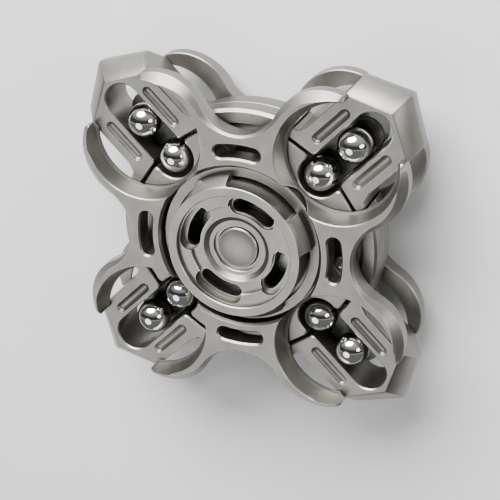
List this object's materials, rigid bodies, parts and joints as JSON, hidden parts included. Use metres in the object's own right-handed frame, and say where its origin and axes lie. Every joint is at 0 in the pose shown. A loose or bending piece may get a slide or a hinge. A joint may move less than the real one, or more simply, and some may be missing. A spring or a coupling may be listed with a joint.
{
  "type": "fidget spinner",
  "caption": "Flat metal finger spinner with hollow-ended arms, crescent horns, round finger caps on a ball bearing, and loose polished balls in diagonal channels.",
  "frame": {"origin": "middle of the spinner, on the spin axis and half-way through its thickness", "axes": "+Z along the spin axis, up through the front cap as the spinner lies on its back cap; the four arms point along +X, +Y, -X and -Y"},
  "size_m": [0.0594, 0.0594, 0.0208],
  "materials": {
    "blasted_steel": "bead-blasted warm grey steel with bright bevelled edges",
    "polished_ball": "mirror-polished bearing steel",
    "plain_steel": "plain ground steel",
    "dark_rail": "dark blackened steel",
    "nickel_magnet": "nickel-plated magnet",
    "cage_polymer": "moulded dark nylon"
  },
  "bodies": {
    "spinner": {"front_plate": "blasted_steel", "back_plate": "blasted_steel", "front_core": "blasted_steel", "back_core": "blasted_steel", "core_screw_east": "plain_steel", "core_screw_north": "plain_steel", "core_screw_west": "plain_steel", "core_screw_south": "plain_steel", "block_ne": "blasted_steel", "block_nw": "blasted_steel", "block_sw": "blasted_steel", "block_se": "blasted_steel", "ball_rail_ne": "dark_rail", "ball_rail_nw": "dark_rail", "ball_rail_sw": "dark_rail", "ball_rail_se": "dark_rail", "outer_magnet_ne": "nickel_magnet", "outer_magnet_nw": "nickel_magnet", "outer_magnet_sw": "nickel_magnet", "outer_magnet_se": "nickel_magnet", "inner_magnet_ne": "nickel_magnet", "inner_magnet_nw": "nickel_magnet", "inner_magnet_sw": "nickel_magnet", "inner_magnet_se": "nickel_magnet", "bearing_outer_race": "plain_steel", "front_bearing_shield": "plain_steel", "back_bearing_shield": "plain_steel"},
    "finger_caps": {"front_cap": "blasted_steel", "back_cap": "blasted_steel", "front_centre_disc": "blasted_steel", "back_centre_disc": "blasted_steel", "axle_screw": "plain_steel", "bearing_inner_race": "plain_steel"},
    "bearing_ball_train": {"bearing_cage": "cage_polymer", "bearing_ball_1": "polished_ball", "bearing_ball_2": "polished_ball", "bearing_ball_3": "polished_ball", "bearing_ball_4": "polished_ball", "bearing_ball_5": "polished_ball", "bearing_ball_6": "polished_ball", "bearing_ball_7": "polished_ball"},
    "outer_ball_ne": {"outer_ball_ne": "polished_ball"},
    "inner_ball_ne": {"inner_ball_ne": "polished_ball"},
    "outer_ball_nw": {"outer_ball_nw": "polished_ball"},
    "inner_ball_nw": {"inner_ball_nw": "polished_ball"},
    "outer_ball_sw": {"outer_ball_sw": "polished_ball"},
    "inner_ball_sw": {"inner_ball_sw": "polished_ball"},
    "outer_ball_se": {"outer_ball_se": "polished_ball"},
    "inner_ball_se": {"inner_ball_se": "polished_ball"}
  },
  "joints": [
    {"name": "cap_spin", "type": "hinge", "parent": "spinner", "child": "finger_caps", "pos_m": [0, 0, 0], "axis": [0, 0, 1], "continuous": true},
    {"name": "bearing_train_spin", "type": "hinge", "parent": "spinner", "child": "bearing_ball_train", "pos_m": [0, 0, 0], "axis": [0, 0, 1], "continuous": true},
    {"name": "outer_ball_ne_slide", "type": "slide", "parent": "spinner", "child": "outer_ball_ne", "axis": [0.7071, 0.7071, 0], "range_m": [-0.0007, 0.003], "stiffness_N_per_m": 40},
    {"name": "outer_ball_nw_slide", "type": "slide", "parent": "spinner", "child": "outer_ball_nw", "axis": [-0.7071, 0.7071, 0], "range_m": [-0.0007, 0.003], "stiffness_N_per_m": 40},
    {"name": "outer_ball_sw_slide", "type": "slide", "parent": "spinner", "child": "outer_ball_sw", "axis": [-0.7071, -0.7071, 0], "range_m": [-0.0007, 0.003], "stiffness_N_per_m": 40},
    {"name": "outer_ball_se_slide", "type": "slide", "parent": "spinner", "child": "outer_ball_se", "axis": [0.7071, -0.7071, 0], "range_m": [-0.0007, 0.003], "stiffness_N_per_m": 40},
    {"name": "inner_ball_ne_slide", "type": "slide", "parent": "spinner", "child": "inner_ball_ne", "axis": [0.7071, 0.7071, 0], "range_m": [-0.0003, 0.0007], "stiffness_N_per_m": 40},
    {"name": "inner_ball_nw_slide", "type": "slide", "parent": "spinner", "child": "inner_ball_nw", "axis": [-0.7071, 0.7071, 0], "range_m": [-0.0003, 0.0007], "stiffness_N_per_m": 40},
    {"name": "inner_ball_sw_slide", "type": "slide", "parent": "spinner", "child": "inner_ball_sw", "axis": [-0.7071, -0.7071, 0], "range_m": [-0.0003, 0.0007], "stiffness_N_per_m": 40},
    {"name": "inner_ball_se_slide", "type": "slide", "parent": "spinner", "child": "inner_ball_se", "axis": [0.7071, -0.7071, 0], "range_m": [-0.0003, 0.0007], "stiffness_N_per_m": 40}
  ],
  "couplings": [
    {"joint": "bearing_train_spin", "follows": "cap_spin", "ratio": 0.3677}
  ]
}
